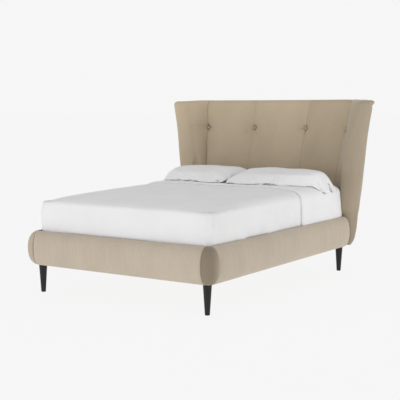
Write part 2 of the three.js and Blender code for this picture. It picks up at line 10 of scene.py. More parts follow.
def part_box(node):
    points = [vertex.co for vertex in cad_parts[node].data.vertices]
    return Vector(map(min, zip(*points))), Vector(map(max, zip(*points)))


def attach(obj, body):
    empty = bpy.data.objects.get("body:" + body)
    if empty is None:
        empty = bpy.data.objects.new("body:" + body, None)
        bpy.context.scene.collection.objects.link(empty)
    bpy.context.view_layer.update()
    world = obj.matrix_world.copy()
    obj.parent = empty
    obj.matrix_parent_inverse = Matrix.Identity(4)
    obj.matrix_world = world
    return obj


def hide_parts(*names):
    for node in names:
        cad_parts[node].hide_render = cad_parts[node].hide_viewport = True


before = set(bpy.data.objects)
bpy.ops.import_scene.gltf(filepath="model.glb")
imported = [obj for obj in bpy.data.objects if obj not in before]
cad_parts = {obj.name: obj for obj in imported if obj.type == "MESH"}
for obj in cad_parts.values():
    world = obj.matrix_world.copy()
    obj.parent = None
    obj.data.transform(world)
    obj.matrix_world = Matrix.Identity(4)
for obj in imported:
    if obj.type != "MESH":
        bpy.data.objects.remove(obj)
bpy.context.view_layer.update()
random.seed(7)

# ---------- driving sizes, in metres ----------
# Y is counted from the foot end of the mattress, and FOOT_Y moves it into the frame.
FOOT_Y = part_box("mattress")[0][1]
MATTRESS_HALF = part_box("mattress")[1][0]
MATTRESS_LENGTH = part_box("mattress")[1][1] - FOOT_Y
MATTRESS_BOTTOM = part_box("mattress")[0][2]
MATTRESS_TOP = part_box("mattress")[1][2]
HEADBOARD_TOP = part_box("headboard_centre_pad")[1][2]
HEADBOARD_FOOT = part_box("headboard_panel")[0][2]
BACK_COVER_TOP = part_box("headboard_back_cover")[1][2]
PAD_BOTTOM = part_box("headboard_centre_pad")[0][2]
PANEL_FOOT_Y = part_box("headboard_panel")[0][1] - FOOT_Y
CARCASS_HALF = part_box("headboard_panel")[1][0]
RAIL_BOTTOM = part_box("foot_rail_pad")[0][2]
RAIL_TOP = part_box("foot_rail_pad")[1][2]
RAIL_INNER_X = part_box("side_rail_board_right")[0][0]
RAIL_OUTER_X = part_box("side_rail_pad_right")[1][0]
FOOT_INNER_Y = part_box("foot_rail_board")[1][1] - FOOT_Y
COVER_HEAD_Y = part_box("bed_cover")[1][1] - FOOT_Y
BULGE = RAIL_OUTER_X - RAIL_INNER_X
RAKE_SLOPE = 0.287
PAD_DEPTH = 0.061
SLAB_DEPTH = 0.036
BUTTON_Z = 1.08
BUTTON_RADIUS = 0.0135
TOP_RADIUS = 0.040
CORNER_RADIUS = 0.080
BED_FOOT_RADIUS = 0.050
BED_HEAD_RADIUS = 0.055
CORNER_SEAM = 0.084
SEAM_GAP = 0.0003
BACK_CORNER_RADIUS = 0.045
PAD_MARGIN = 0.005
LIFT_REACH = 0.31
INNER_CHANNEL = 0.237
OUTER_CHANNEL = 0.573
OUTER_FORWARD = 0.042
CHANNEL_LEVEL = 0.45  # the height at which OUTER_CHANNEL and OUTER_FORWARD hold
SHEET_THICKNESS = 0.002
COVER_THICKNESS = 0.0085
RING_POINTS = 240


# ---------- small helpers ----------
def smoothstep(x, low, high):
    t = np.clip((x - low) / (high - low), 0.0, 1.0)
    return t * t * (3 - 2 * t)


def lump(x, centre, width):
    return math.exp(-(((x - centre) / width) ** 2))


def wobble(x, y, z, scale):
    return noise.noise(Vector((x * scale, y * scale, z * scale)))


def shade_smooth(mesh):
    for polygon in mesh.polygons:
        polygon.use_smooth = True


def make_object(name, verts, faces, material):
    mesh = bpy.data.meshes.new(name)
    mesh.from_pydata([(x, y + FOOT_Y, z) for x, y, z in verts], [], faces)
    mesh.validate()
    mesh.update()
    obj = bpy.data.objects.new(name, mesh)
    bpy.context.scene.collection.objects.link(obj)
    shade_smooth(mesh)
    mesh.materials.append(material)
    return obj


def ring_faces(rings, count):
    faces = []
    for r in range(rings - 1):
        for i in range(count):
            j = (i + 1) % count
            low, high = r * count, (r + 1) * count
            faces.append((low + i, low + j, high + j, high + i))
    return faces


def loft(name, rings, material):
    """A closed solid through rings of equally many points, which run anticlockwise seen from the last."""
    count = len(rings[0])
    verts = [p for ring in rings for p in ring]
    faces = ring_faces(len(rings), count)
    faces.append(tuple(reversed(range(count))))
    last = (len(rings) - 1) * count
    faces.append(tuple(range(last, last + count)))
    return make_object(name, verts, faces, material)


def mirror_copy(obj, name):
    mesh = obj.data.copy()
    mesh.name = name
    for v in mesh.vertices:
        v.co.x = -v.co.x
    mesh.flip_normals()
    twin = bpy.data.objects.new(name, mesh)
    bpy.context.scene.collection.objects.link(twin)
    return twin


# ---------- materials ----------
def new_material(name, color, roughness, metallic=0.0):
    material = bpy.data.materials.new(name)
    material.use_nodes = True
    shader = material.node_tree.nodes["Principled BSDF"]
    shader.inputs["Base Color"].default_value = (*color, 1)
    shader.inputs["Roughness"].default_value = roughness
    shader.inputs["Metallic"].default_value = metallic
    return material, material.node_tree, shader


def vary_roughness(tree, shader, source, low, high):
    rough = ramp_node(tree, source, [(0.3, (low,) * 3), (0.7, (high,) * 3)])
    tree.links.new(rough.outputs["Color"], shader.inputs["Roughness"])


def noise_node(tree, scale, stretch=(1, 1, 1), detail=3.0, rough=0.55):
    coords = tree.nodes.new("ShaderNodeTexCoord")
    mapping = tree.nodes.new("ShaderNodeMapping")
    mapping.inputs["Scale"].default_value = stretch
    texture = tree.nodes.new("ShaderNodeTexNoise")
    texture.inputs["Scale"].default_value = scale
    texture.inputs["Detail"].default_value = detail
    texture.inputs["Roughness"].default_value = rough
    tree.links.new(coords.outputs["Object"], mapping.inputs["Vector"])
    tree.links.new(mapping.outputs["Vector"], texture.inputs["Vector"])
    return texture


def ramp_node(tree, source, stops):
    ramp = tree.nodes.new("ShaderNodeValToRGB")
    ramp.color_ramp.elements[0].position = stops[0][0]
    ramp.color_ramp.elements[0].color = (*stops[0][1], 1)
    ramp.color_ramp.elements[1].position = stops[-1][0]
    ramp.color_ramp.elements[1].color = (*stops[-1][1], 1)
    for position, color in stops[1:-1]:
        ramp.color_ramp.elements.new(position).color = (*color, 1)
    tree.links.new(source, ramp.inputs["Fac"])
    return ramp


def mix_node(tree, a, b, factor, mode="MULTIPLY"):
    mix = tree.nodes.new("ShaderNodeMix")
    mix.data_type = "RGBA"
    mix.blend_type = mode
    mix.inputs["Factor"].default_value = factor
    tree.links.new(a, mix.inputs["A"])
    tree.links.new(b, mix.inputs["B"])
    return mix.outputs["Result"]


def painted_crease_shade(tree, color, reach, darkest):
    """Painted shade: darkens a colour where surfaces meet closely, as in a fold or beside a seam."""
    near = tree.nodes.new("ShaderNodeAmbientOcclusion")
    near.samples = 8
    near.inputs["Distance"].default_value = reach
    shade = ramp_node(tree, near.outputs["AO"], [(0.25, (darkest,) * 3), (0.85, (1, 1, 1))])
    return mix_node(tree, color, shade.outputs["Color"], 1.0)


def bump_chain(tree, shader, layers):
    """layers are (height socket, strength, distance in metres), from coarse to fine."""
    previous = None
    for height, strength, distance in layers:
        bump = tree.nodes.new("ShaderNodeBump")
        bump.inputs["Strength"].default_value = strength
        bump.inputs["Distance"].default_value = distance
        tree.links.new(height, bump.inputs["Height"])
        if previous:
            tree.links.new(previous, bump.inputs["Normal"])
        previous = bump.outputs["Normal"]
    tree.links.new(previous, shader.inputs["Normal"])


def weave_height(tree, pitch):
    """A plain weave: two crossed waves along the piece's own axes."""
    coords = tree.nodes.new("ShaderNodeTexCoord")
    waves = []
    for direction in ("X", "Z"):
        wave = tree.nodes.new("ShaderNodeTexWave")
        wave.bands_direction = direction
        wave.inputs["Scale"].default_value = 1 / pitch / 6.28
        wave.inputs["Distortion"].default_value = 0.6
        tree.links.new(coords.outputs["Object"], wave.inputs["Vector"])
        waves.append(wave.outputs["Fac"])
    total = tree.nodes.new("ShaderNodeMath")
    total.operation = "ADD"
    tree.links.new(waves[0], total.inputs[0])
    tree.links.new(waves[1], total.inputs[1])
    return total.outputs[0]


def velvet(name, tint, streak=(1, 1, 0.07), depth=0.03, sheen=0.3, shade=None):
    """depth is how far the nap's streaks differ from the tint; shade adds a colour of painted light and shade
    to multiply by.
    """
    material, tree, shader = new_material(name, tint, 0.9)
    dark = tuple(c * (1 - depth) for c in tint)
    light = tuple(c * (1 + depth) for c in tint)
    nap = noise_node(tree, 80, streak, detail=5, rough=0.65)
    cloudy = noise_node(tree, 4.5, (1, 1, 0.5), detail=2)
    pile = noise_node(tree, 900, detail=2)
    streaks = ramp_node(tree, nap.outputs["Fac"], [(0.3, dark), (0.5, tint), (0.72, light)])
    patches = ramp_node(tree, cloudy.outputs["Fac"], [(0.35, (0.93, 0.93, 0.93)), (0.65, (1, 1, 1))])
    color = streaks.outputs["Color"]
    if shade:
        color = mix_node(tree, color, shade(tree), 1.0)
    color = mix_node(tree, color, patches.outputs["Color"], 1.0)
    # Painted shade in folds and beside seams darkens the velvet's base colour.
    tree.links.new(painted_crease_shade(tree, color, 0.030, 0.66), shader.inputs["Base Color"])
    shader.inputs["Sheen Weight"].default_value = sheen
    shader.inputs["Sheen Roughness"].default_value = 0.4
    shader.inputs["Sheen Tint"].default_value = (1.0, 0.95, 0.86, 1)
    shader.inputs["Specular IOR Level"].default_value = 0.15
    vary_roughness(tree, shader, nap.outputs["Fac"], 0.82, 0.96)
    bump_chain(tree, shader, [(nap.outputs["Fac"], 0.25, 0.002), (pile.outputs["Fac"], 0.35, 0.0004)])
    return material


def cotton(name, tint, crease=0.3, pitch=0.0011, fold_shade=0.45, pulls=0.0):
    material, tree, shader = new_material(name, tint, 0.85)
    slub = noise_node(tree, 160, (1, 1, 1), detail=3)
    soft = noise_node(tree, 5, (1, 1, 1), detail=3)
    folds = noise_node(tree, 13, (1.2, 0.5, 1), detail=4, rough=0.6)
    cool = tuple(c * 0.965 for c in tint)
    threads = ramp_node(tree, slub.outputs["Fac"], [(0.35, cool), (0.65, tint)])
    shade = ramp_node(tree, soft.outputs["Fac"], [(0.3, (0.96, 0.96, 0.965)), (0.7, (1, 1, 1))])
    color = mix_node(tree, threads.outputs["Color"], shade.outputs["Color"], 1.0)
    # Painted shade in folds darkens the cloth's base colour; fold_shade is its darkest tone.
    tree.links.new(painted_crease_shade(tree, color, 0.02, fold_shade), shader.inputs["Base Color"])
    shader.inputs["Sheen Weight"].default_value = 0.15
    shader.inputs["Specular IOR Level"].default_value = 0.2
    weave = weave_height(tree, pitch)
    layers = [(folds.outputs["Fac"], crease, 0.006), (weave, 0.12, 0.0003)]
    if pulls:
        layers.insert(0, (pull_height(tree), pulls, 0.012))
    bump_chain(tree, shader, layers)
    return material


def pull_height(tree):
    """Long slanting pulls, as a cloth tucked in at the sides shows."""
    coords = tree.nodes.new("ShaderNodeTexCoord")
    turn = tree.nodes.new("ShaderNodeMapping")
    turn.inputs["Rotation"].default_value = (math.radians(-32), 0, 0)
    turn.inputs["Scale"].default_value = (1.5, 9.0, 0.8)
    texture = tree.nodes.new("ShaderNodeTexNoise")
    texture.inputs["Scale"].default_value = 1.6
    texture.inputs["Detail"].default_value = 2.0
    texture.inputs["Distortion"].default_value = 0.4
    tree.links.new(coords.outputs["Object"], turn.inputs["Vector"])
    tree.links.new(turn.outputs["Vector"], texture.inputs["Vector"])
    return texture.outputs["Fac"]


def timber(name, along, light=(0.62, 0.44, 0.26), dark=(0.42, 0.27, 0.14)):
    material, tree, shader = new_material(name, light, 0.6)
    stretch = [14, 14, 14]
    stretch["XYZ".index(along)] = 1.1
    grain = noise_node(tree, 4, tuple(stretch), detail=6, rough=0.6)
    pores = noise_node(tree, 30, tuple(stretch), detail=2)
    rings = ramp_node(tree, grain.outputs["Fac"], [(0.35, dark), (0.48, light), (0.6, dark), (0.68, light)])
    tree.links.new(rings.outputs["Color"], shader.inputs["Base Color"])
    vary_roughness(tree, shader, pores.outputs["Fac"], 0.5, 0.72)
    bump_chain(tree, shader, [(grain.outputs["Fac"], 0.2, 0.001), (pores.outputs["Fac"], 0.3, 0.0004)])
    return material


def steel(name):
    material, tree, shader = new_material(name, (0.5, 0.51, 0.52), 0.4, 1.0)
    brushed = noise_node(tree, 60, (1, 12, 1), detail=4)
    worn = noise_node(tree, 9, detail=3)
    tone = ramp_node(tree, worn.outputs["Fac"], [(0.3, (0.42, 0.43, 0.44)), (0.7, (0.6, 0.6, 0.61))])
    tree.links.new(tone.outputs["Color"], shader.inputs["Base Color"])
    vary_roughness(tree, shader, brushed.outputs["Fac"], 0.3, 0.5)
    bump_chain(tree, shader, [(brushed.outputs["Fac"], 0.1, 0.0003)])
    return material


def black_wood(name):
    material, tree, shader = new_material(name, (0.012, 0.012, 0.013), 0.45)
    grain = noise_node(tree, 40, (4, 4, 0.5), detail=4)
    worn = noise_node(tree, 6, detail=3)
    dark, light = (0.008, 0.008, 0.009), (0.018, 0.018, 0.019)
    tone = ramp_node(tree, grain.outputs["Fac"], [(0.3, dark), (0.75, light)])
    tree.links.new(tone.outputs["Color"], shader.inputs["Base Color"])
    vary_roughness(tree, shader, worn.outputs["Fac"], 0.3, 0.5)
    shader.inputs["Specular IOR Level"].default_value = 0.3
    bump_chain(tree, shader, [(grain.outputs["Fac"], 0.12, 0.0005)])
    return material


def moulded_plastic(name):
    material, tree, shader = new_material(name, (0.02, 0.02, 0.021), 0.5)
    texture = noise_node(tree, 500, detail=2)
    worn = noise_node(tree, 20, detail=3)
    vary_roughness(tree, shader, worn.outputs["Fac"], 0.42, 0.62)
    bump_chain(tree, shader, [(texture.outputs["Fac"], 0.2, 0.0002)])
    return material


def corner_painted_light(tree):
    """Painted light and shade across the corner panel: its tone turns from darker at its seam with the foot
    rail to lighter at its seam with the side rail.
    """
    coords = tree.nodes.new("ShaderNodeTexCoord")
    across = tree.nodes.new("ShaderNodeVectorMath")
    across.operation = "DOT_PRODUCT"
    share = 1 / (2 * CORNER_SEAM)
    across.inputs[1].default_value = (share, share, 0)
    tree.links.new(coords.outputs["Object"], across.inputs[0])
    shift = tree.nodes.new("ShaderNodeMath")
    shift.operation = "SUBTRACT"
    shift.inputs[1].default_value = (RAIL_OUTER_X - CORNER_SEAM + FOOT_INNER_Y - BULGE + FOOT_Y) * share
    tree.links.new(across.outputs["Value"], shift.inputs[0])
    stops = [(0.0, (0.84, 0.84, 0.84)), (0.12, (1, 1, 1)), (0.6, (1, 1, 1)), (1.0, (1.45, 1.46, 1.5))]
    return ramp_node(tree, shift.outputs[0], stops).outputs["Color"]


def painted_height_light(low, high):
    """Painted light and shade: an upright piece is coloured darker towards its foot and lighter towards its
    top.
    """
    def shade(tree):
        coords = tree.nodes.new("ShaderNodeTexCoord")
        split = tree.nodes.new("ShaderNodeSeparateXYZ")
        tree.links.new(coords.outputs["Object"], split.inputs["Vector"])
        span = tree.nodes.new("ShaderNodeMapRange")
        span.inputs["From Min"].default_value = RAIL_TOP
        span.inputs["From Max"].default_value = HEADBOARD_TOP
        tree.links.new(split.outputs["Z"], span.inputs["Value"])
        stops = [(0.35, (low,) * 3), (0.65, (1, 1, 1)), (0.95, (high,) * 3)]
        return ramp_node(tree, span.outputs["Result"], stops).outputs["Color"]
    return shade


# Painted light and shade on the headboard velvets: darker low down and lighter towards the top.
VELVET = velvet("velvet_headboard", (0.485, 0.398, 0.288), depth=0.025, shade=painted_height_light(0.86, 1.17))
# A darker copy of the headboard velvet, as painted shade on the right side pad.
VELVET_SIDE_SHADED = velvet("velvet_side_shaded", (0.45, 0.368, 0.264), depth=0.025, shade=painted_height_light(0.86, 1.12))
# A darker copy of the headboard velvet, as painted shade on the right wing, with more sheen.
VELVET_WING_SHADED = velvet(
    "velvet_wing_shaded", (0.42, 0.348, 0.258), streak=(1, 1, 0.04), depth=0.05, sheen=0.5,
    shade=painted_height_light(0.90, 1.04),
)
VELVET_RAIL = velvet("velvet_rail", (0.525, 0.449, 0.36), streak=(1, 1, 0.05), depth=0.05)
# A much darker copy of the velvet, as painted shade on the near corner panel, with painted light and shade
# across it; the far corner keeps a plain tint.
VELVET_CORNER_SHADED = velvet("velvet_corner_shaded", (0.27, 0.22, 0.16), depth=0.04, shade=corner_painted_light)
VELVET_FAR_CORNER = velvet("velvet_far_corner", (0.49, 0.415, 0.325), depth=0.04)
VELVET_BUTTON = velvet("velvet_button", (0.45, 0.375, 0.28), streak=(1, 1, 1))
COVER_CLOTH = cotton("cover_cloth", (0.85, 0.85, 0.852), crease=0.3, fold_shade=0.3, pulls=0.6)
SHEET_CLOTH = cotton("sheet_cloth", (0.87, 0.87, 0.877), crease=0.2, fold_shade=0.3)
PILLOW_CLOTH = cotton("pillow_cloth", (0.87, 0.87, 0.875), crease=0.5, fold_shade=0.78)
TICKING = cotton("mattress_ticking", (0.74, 0.73, 0.70), crease=0.1, pitch=0.002)


# ---------- headboard surface ----------
def panel_y(z):
    return PANEL_FOOT_Y + RAKE_SLOPE * (z - HEADBOARD_FOOT)


def back_y(z):
    return panel_y(z) + SLAB_DEPTH


def inner_channel_x(z):
    return INNER_CHANNEL + 0.018 * min(max((z - BUTTON_Z) / 0.23, 0), 1)


def outer_channel_x(z):
    return OUTER_CHANNEL + 0.105 * (z - CHANNEL_LEVEL)


def outer_forward(z):
    return OUTER_FORWARD + 0.075 * (z - CHANNEL_LEVEL)


def top_roll(z, radius=TOP_RADIUS):
    rise = max(z - (HEADBOARD_TOP - radius), 0)
    return radius - math.sqrt(max(radius * radius - rise * rise, 0))


def channel_y(x, z):
    """The face through the bottoms of the channels, which comes forward towards the wings."""
    inner, outer = inner_channel_x(z), outer_channel_x(z)
    t = min(max((abs(x) - inner) / (outer - inner), 0), 1)
    return panel_y(z) - PAD_DEPTH - outer_forward(z) * t**1.3


def button_places():
    for side in (-1, 1):
        for x in (inner_channel_x(BUTTON_Z), outer_channel_x(BUTTON_Z)):
            yield side * x, BUTTON_Z


def dimple(x, z):
    """How far the cover is drawn back towards the buttons, with the folds that spread from them."""
    depth = 0.0
    for bx, bz in button_places():
        dx, dz = x - bx, z - bz
        r = math.hypot(dx, dz)
        if r > 0.22:
            continue
        angle = math.atan2(dz, dx)
        draw = 0.4 if bx > 0.4 else 1.0  # the outer right button is drawn in least
        depth += draw * (0.015 * math.exp(-((r / 0.060) ** 2)) + 0.017 * math.exp(-((r / 0.022) ** 2)))
        spread = draw * math.exp(-r / 0.045) * min(r / 0.02, 1)
        depth += 0.0055 * spread * math.cos(5 * angle + 0.8 + 3 * bx)
        depth += 0.0035 * spread * math.cos(9 * angle + 2.1 - 5 * bx)
    return depth


def face_wobble(x, z):
    return 0.0022 * wobble(x, 0, z * 0.7, 6) + 0.0009 * wobble(x + 5, 0, z * 0.4, 22)


PAD_LEVELS = np.concatenate([
    np.linspace(PAD_BOTTOM, BUTTON_Z - 0.12, 34),
    np.linspace(BUTTON_Z - 0.115, BUTTON_Z + 0.115, 40),
    np.linspace(BUTTON_Z + 0.12, HEADBOARD_TOP - TOP_RADIUS, 14),
    HEADBOARD_TOP - TOP_RADIUS + TOP_RADIUS * np.sin(np.linspace(0.12, math.pi / 2, 11)),
])


def even_steps(count, pull=0.8):
    """Shares from 0 to 1 that lie closer together at both ends."""
    t = np.linspace(0, 1, count)
    return (1 - pull) * t + pull * (0.5 - 0.5 * np.cos(math.pi * t))


def front_pad(name, x0, x1, material):
    steps = even_steps(44)
    rings = []
    for z in PAD_LEVELS:
        roll = top_roll(z)
        a, b = x0(z), x1(z)
        ring = []
        for s in steps:
            x = a + (b - a) * s
            crown = 0.0135 * (1 - abs(2 * s - 1) ** 2.6)
            y = channel_y(x, z) - crown - face_wobble(x, z) + dimple(x, z) + roll
            near = lump(min(abs(x - a), abs(x - b)), 0, 0.03)
            dip = 0.008 * near * smoothstep(z, HEADBOARD_TOP - 0.06, HEADBOARD_TOP)
            ring.append((x, y, z - dip))
        under_cover = 0.009 * (1 - smoothstep(z, BACK_COVER_TOP - 0.004, BACK_COVER_TOP + 0.004))
        back = back_y(z) - roll - under_cover
        for s in (1, 0.75, 0.5, 0.25, 0):
            ring.append((a + (b - a) * s, back, z))
        rings.append(ring)
    return loft(name, rings, material)


# The rolled front edge of a wing is a circle in plan that leans out as it rises.
WING_Z = [0.200, 0.450, 0.750, 1.080, 1.260, 1.310]
WING_LEAN = [-0.092, -0.092, -0.028, 0.031, 0.069, 0.080]
WING_RADIUS = [0.089, 0.100, 0.099, 0.081, 0.075, 0.073]


def smooth_along(z, heights, values):
    """A smooth curve through values at heights, with a slope that follows its neighbours."""
    h, v = np.array(heights), np.array(values)
    slope = np.gradient(v, h)
    i = int(np.clip(np.searchsorted(h, z) - 1, 0, len(h) - 2))
    d = h[i + 1] - h[i]
    t = (z - h[i]) / d
    a = v[i] * (2 * t**3 - 3 * t**2 + 1) + v[i + 1] * (3 * t**2 - 2 * t**3)
    return a + d * (slope[i] * (t**3 - 2 * t**2 + t) + slope[i + 1] * (t**3 - t**2))


# The outer back of a wing stands out or in from the circle by this much at each height.
WING_BACK_Z = [0.20, 0.41, 0.50, 0.59, 0.66, 0.77, 0.95, 1.10, 1.24, 1.31]
WING_BACK_OUT = [0.017, 0.021, 0.016, 0.008, 0.0, -0.013, -0.020, -0.024, -0.037, -0.035]
WING_FRONT_OUT = 0.009


def wing_centre(z):
    x = RAIL_OUTER_X - 0.0005 + smooth_along(z, WING_Z, WING_LEAN)
    return x, MATTRESS_LENGTH + 0.031 + 0.01 * (z - 0.45)


def wing_ring(z, ear):
    """One level of a wing pad. ear is 1 on the right wing, which has the fold, and 0 on the left one."""
    roll = top_roll(z)
    cx, cy = wing_centre(z)
    radius = smooth_along(z, WING_Z, WING_RADIUS) - roll
    stand_back = 0.032 * (1 - smoothstep(z, RAIL_TOP, RAIL_TOP + 0.06))
    corner_r = BACK_CORNER_RADIUS - roll / 2
    kx, ky = CARCASS_HALF + 0.042 - BACK_CORNER_RADIUS, back_y(z) - roll - corner_r
    front = cy - radius + stand_back
    cy = min(cy, ky - 0.010)
    depth = cy - front
    seam_x = outer_channel_x(z) + SEAM_GAP
    side = 1 if ear else -1
    seam = (seam_x, channel_y(seam_x, z) + roll + dimple(side * seam_x, z))
    gap = math.hypot(seam[0] - cx, seam[1] - cy)
    toward = math.atan2(seam[1] - cy, seam[0] - cx)
    start = toward + math.acos(min(radius / gap, 1)) if gap > radius else math.pi
    start = start % (2 * math.pi)
    limit = math.pi
    if seam_x >= cx - radius:
        limit = 2 * math.pi - math.acos(max((seam_x + 0.008 - cx) / radius, -1))
    start = max(start, limit, math.radians(185))
    spread = math.hypot(kx - cx, ky - cy)
    narrowing = min(max((radius - corner_r) / spread, -1), 1)
    outer = math.atan2(ky - cy, kx - cx) - math.pi / 2 + math.asin(narrowing)
    outer = min(max(outer, 0), 0.7)
    ring = []
    first = (cx + radius * math.cos(start), cy + depth * math.sin(start))
    for s in even_steps(18, 0.6)[:-1]:
        x, y = seam[0] + (first[0] - seam[0]) * s, seam[1] + (first[1] - seam[1]) * s
        nx, ny = first[1] - seam[1], -(first[0] - seam[0])
        size = max(math.hypot(nx, ny), 1e-6)
        crown = 0.010 * math.sin(math.pi * min(s, 1)) ** 0.8 * smoothstep(size, 0.02, 0.10)
        x, y = x + nx / size * crown, y + ny / size * crown
        if s > 0:
            y += dimple(side * x, z)
        ring.append((x, y, z))
    back_out = float(np.interp(z, WING_BACK_Z, WING_BACK_OUT)) * (1 - roll / TOP_RADIUS * 0.3)
    for s in np.linspace(0, 1, 44):
        angle = start + (outer + 2 * math.pi - start) * s
        from_side = angle - 2 * math.pi
        out = back_out * smoothstep(from_side, -0.5, 0.5) + WING_FRONT_OUT * lump(from_side, -0.6, 0.5)
        swell = 1 + 0.012 * wobble(math.cos(angle), math.sin(angle), z * 3, 1.7) + out / radius
        ring.append((cx + radius * swell * math.cos(angle), cy + depth * swell * math.sin(angle), z))
    last = ring[-1]
    turns = np.linspace(outer, math.pi / 2, 9)
    corner = [(kx + corner_r * math.cos(a), ky + corner_r * math.sin(a), z) for a in turns]
    for s in np.linspace(0, 1, 14)[1:-1]:
        x, y = last[0] + (corner[0][0] - last[0]) * s, last[1] + (corner[0][1] - last[1]) * s
        swell = 0.004 * math.sin(math.pi * s)
        ring.append((x + swell, y, z))
    ring += corner
    ring.append((CARCASS_HALF + 0.001, back_y(z) - roll, z))
    ring.append((CARCASS_HALF + 0.001, panel_y(z) + 0.004, z))
    ring.append((seam_x, panel_y(z) + 0.004 - roll * 0.5, z))
    return [finish_wing(x, y, z, seam_x, ear) for x, y, z in ring]


def finish_wing(x, y, z, seam_x, ear):
    """Rounds the wing's upper and lower edges and folds a small ear at its top corner."""
    outward = smoothstep(x - seam_x, 0.03, 0.16)
    drop = 0.008 * outward * smoothstep(z, HEADBOARD_TOP - 0.07, HEADBOARD_TOP)
    cx, cy = wing_centre(z)
    angle = math.atan2(y - cy, x - cx)
    front_corner = lump(angle, 0.1, 0.8)
    below_top = HEADBOARD_TOP - z
    fold = ear * (0.017 * lump(below_top, 0.012, 0.021) - 0.008 * lump(below_top, 0.050, 0.014))
    x += fold * front_corner * math.cos(angle)
    y += fold * front_corner * math.sin(angle)
    tuck_in = (1 - smoothstep(z, HEADBOARD_FOOT, HEADBOARD_FOOT + 0.045)) * 0.026
    reach = math.hypot(x - cx, y - cy)
    if angle < 1.2 and reach > 0.03:
        x -= tuck_in * math.cos(angle)
        y -= tuck_in * math.sin(angle)
    return x, y, z - drop


def clear_of_mattress(obj, margin=PAD_MARGIN):
    """Presses a pad back where the mattress stands against it, at rest or lifted."""
    half = MATTRESS_HALF + margin
    head = MATTRESS_LENGTH + margin
    radius = BED_HEAD_RADIUS + margin
    top = MATTRESS_TOP + LIFT_REACH
    for v in obj.data.vertices:
        x, y, z = abs(v.co.x), v.co.y - FOOT_Y, v.co.z
        if z < MATTRESS_BOTTOM - 0.02:
            continue
        fade = 1 - smoothstep(z, top, top + 0.10)
        px, py = half - x, head - y
        if px <= 0 or py <= 0:
            continue
        if px < radius and py < radius:
            corner = math.hypot(radius - px, radius - py)
            inside = radius - corner
            if inside > 0:
                ux, uy = (radius - px) / max(corner, 1e-6), (radius - py) / max(corner, 1e-6)
                v.co.x += math.copysign(ux * inside * fade, v.co.x)
                v.co.y += uy * inside * fade
        elif py < px:
            v.co.y += py * fade
        elif px < 0.15:
            v.co.x += math.copysign(px * fade, v.co.x)


def stand_for(obj, node, body):
    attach(obj, body)
    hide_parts(node)


def declare_pad(obj, node, body="frame"):
    stand_for(obj, node, body)


def make_headboard():
    def centre_edge(z):
        return inner_channel_x(z) - SEAM_GAP

    def inner_edge(z):
        return inner_channel_x(z) + SEAM_GAP

    def outer_edge(z):
        return outer_channel_x(z) - SEAM_GAP

    centre = front_pad("headboard_centre", lambda z: -centre_edge(z), centre_edge, VELVET)
    clear_of_mattress(centre)
    declare_pad(centre, "headboard_centre_pad")
    # The right side pad takes the darker velvet copy as painted shade.
    side = front_pad("headboard_side_right", inner_edge, outer_edge, VELVET_SIDE_SHADED)
    clear_of_mattress(side)
    twin = front_pad("headboard_side_left", lambda z: -outer_edge(z), lambda z: -inner_edge(z), VELVET)
    clear_of_mattress(twin)
    declare_pad(side, "headboard_side_pad_right")
    declare_pad(twin, "headboard_side_pad_left")

    low = np.linspace(HEADBOARD_FOOT + 0.002, RAIL_TOP, 9)[:-1]
    lift = np.linspace(RAIL_TOP, 0.5, 9)[:-1]
    high = PAD_LEVELS[PAD_LEVELS > 0.5]
    levels = np.concatenate([low, lift, high])
    # The right wing takes the darker velvet copy as painted shade; the left wing takes the headboard velvet.
    wing = loft("wing_right", [wing_ring(z, 1) for z in levels], VELVET_WING_SHADED)
    plain = loft("wing_plain", [wing_ring(z, 0) for z in levels], VELVET)
    clear_of_mattress(wing)
    clear_of_mattress(plain)
    twin = mirror_copy(plain, "wing_left")
    bpy.data.objects.remove(plain)
    declare_pad(wing, "wing_pad_right")
    declare_pad(twin, "wing_pad_left")


def make_button(name, x, z, node):
    """profile holds the share of the radius and the height above the seat, from the middle outwards."""
    profile = [
        (0.0, 0.0095), (0.35, 0.0090), (0.62, 0.0075), (0.84, 0.0048),
        (0.97, 0.0015), (1.0, -0.002), (0.9, -0.006),
    ]
    count = 28
    y = channel_y(x, z) + dimple(x, z) * 0.72
    verts, faces = [(0, -profile[0][1], 0)], []
    for share, rise in profile[1:]:
        for i in range(count):
            angle = 2 * math.pi * i / count
            r = BUTTON_RADIUS * share
            pucker = 1 + 0.02 * math.cos(7 * angle)
            verts.append((r * pucker * math.cos(angle), -rise, r * pucker * math.sin(angle)))
    for i in range(count):
        faces.append((0, 1 + i, 1 + (i + 1) % count))
    for r in range(len(profile) - 2):
        for i in range(count):
            low, high = 1 + r * count, 1 + (r + 1) * count
            j = (i + 1) % count
            faces.append((low + i, high + i, high + j, low + j))
    last = 1 + (len(profile) - 2) * count
    faces.append(tuple(reversed(range(last, last + count))))
    lean = math.atan(RAKE_SLOPE)
    turn = 0.0 if abs(x) < 0.4 else math.copysign(0.35, x)
    moved = []
    for a, b, c in verts:
        b, c = b * math.cos(lean) + c * math.sin(lean), -b * math.sin(lean) + c * math.cos(lean)
        a, b = a * math.cos(turn) + b * math.sin(turn), -a * math.sin(turn) + b * math.cos(turn)
        moved.append((x + a, y + b, z + c))
    button = make_object(name, moved, faces, VELVET_BUTTON)
    declare_pad(button, node)


def make_buttons():
    for side, word in ((-1, "left"), (1, "right")):
        for place, channel_x in (("inner", inner_channel_x), ("outer", outer_channel_x)):
            node = f"button_{place}_{word}"
            make_button(f"covered_{node}", side * channel_x(BUTTON_Z), BUTTON_Z, node)


